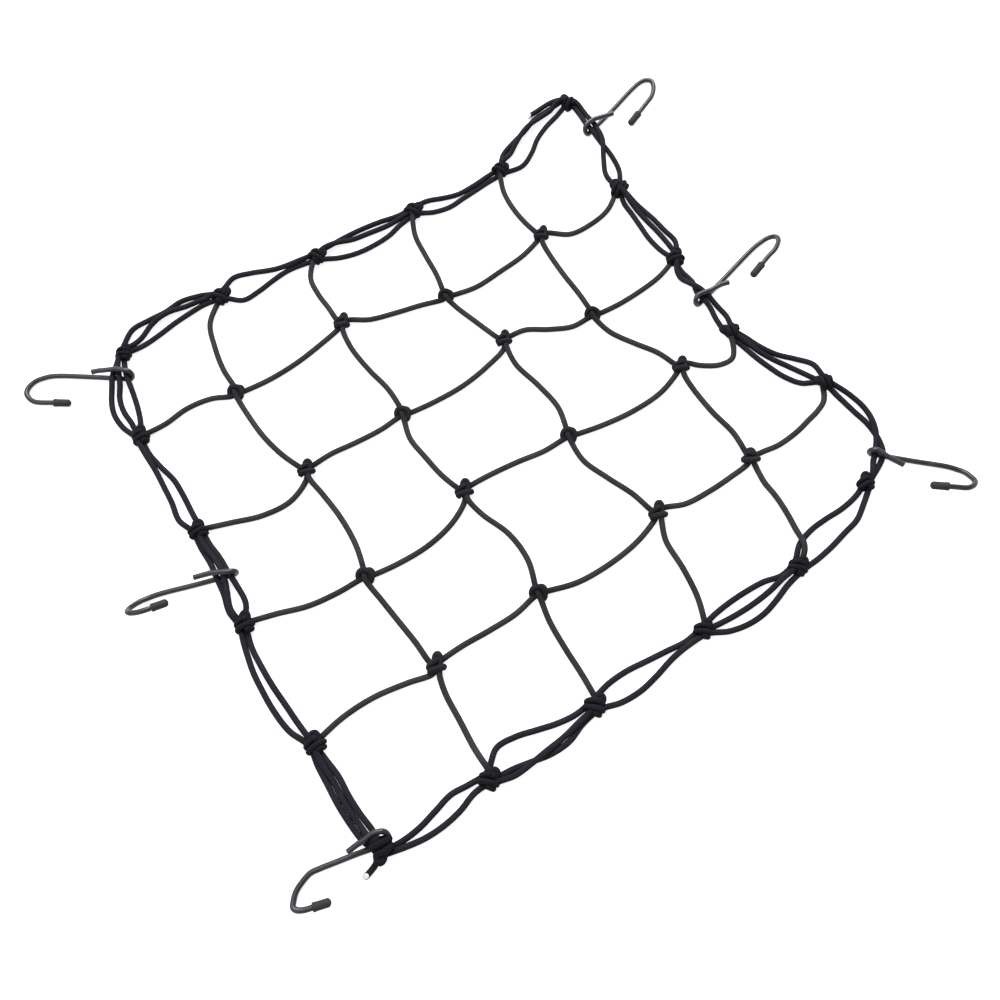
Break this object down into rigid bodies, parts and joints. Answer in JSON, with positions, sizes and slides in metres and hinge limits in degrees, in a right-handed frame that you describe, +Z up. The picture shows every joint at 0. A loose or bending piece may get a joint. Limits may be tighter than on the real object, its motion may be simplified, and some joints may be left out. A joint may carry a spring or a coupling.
{
  "type": "elastic cargo net with hooks",
  "caption": "Knotted elastic cord net laid flat, with a bundled border and bent wire hooks with soft caps along two sides, for holding loads down.",
  "frame": {"origin": "on the surface the net lies on, under the middle of its footprint", "axes": "+X across the net towards the side of hooks 1 to 3, +Y towards its far edge, +Z up"},
  "size_m": [0.5517, 0.4404, 0.0199],
  "materials": {
    "cord": "matte braided sleeve",
    "wire": "satin black coating",
    "cap": "matte soft vinyl"
  },
  "bodies": {
    "root": {"across_left_1": "cord", "across_right_1": "cord", "across_left_2": "cord", "across_right_2": "cord", "across_left_3": "cord", "across_right_3": "cord", "across_left_4": "cord", "across_right_4": "cord", "down_leg_1_1": "cord", "down_leg_1_2": "cord", "down_leg_1_3": "cord", "down_leg_1_4": "cord", "down_leg_1_5": "cord", "down_leg_2_1": "cord", "down_leg_2_2": "cord", "down_leg_2_3": "cord", "down_leg_2_4": "cord", "down_leg_2_5": "cord", "down_leg_3_1": "cord", "down_leg_3_2": "cord", "down_leg_3_3": "cord", "down_leg_3_4": "cord", "down_leg_3_5": "cord", "down_leg_4_1": "cord", "down_leg_4_2": "cord", "down_leg_4_3": "cord", "down_leg_4_4": "cord", "down_leg_4_5": "cord", "border_far_1": "cord", "border_far_2": "cord", "border_far_3": "cord", "border_far_4": "cord", "border_far_5": "cord", "border_right_1": "cord", "border_right_2": "cord", "border_right_3": "cord", "border_right_4": "cord", "border_right_5": "cord", "border_near_1": "cord", "border_near_2": "cord", "border_near_3": "cord", "border_near_4": "cord", "border_near_5": "cord", "border_left_1": "cord", "border_left_2": "cord", "border_left_3": "cord", "border_left_4": "cord", "border_left_5": "cord", "hook_1": "wire", "hook_2": "wire", "hook_3": "wire", "hook_4": "wire", "hook_5": "wire", "hook_6": "wire", "hook_1_cap": "cap", "hook_2_cap": "cap", "hook_3_cap": "cap", "hook_4_cap": "cap", "hook_5_cap": "cap", "hook_6_cap": "cap"}
  },
  "joints": []
}
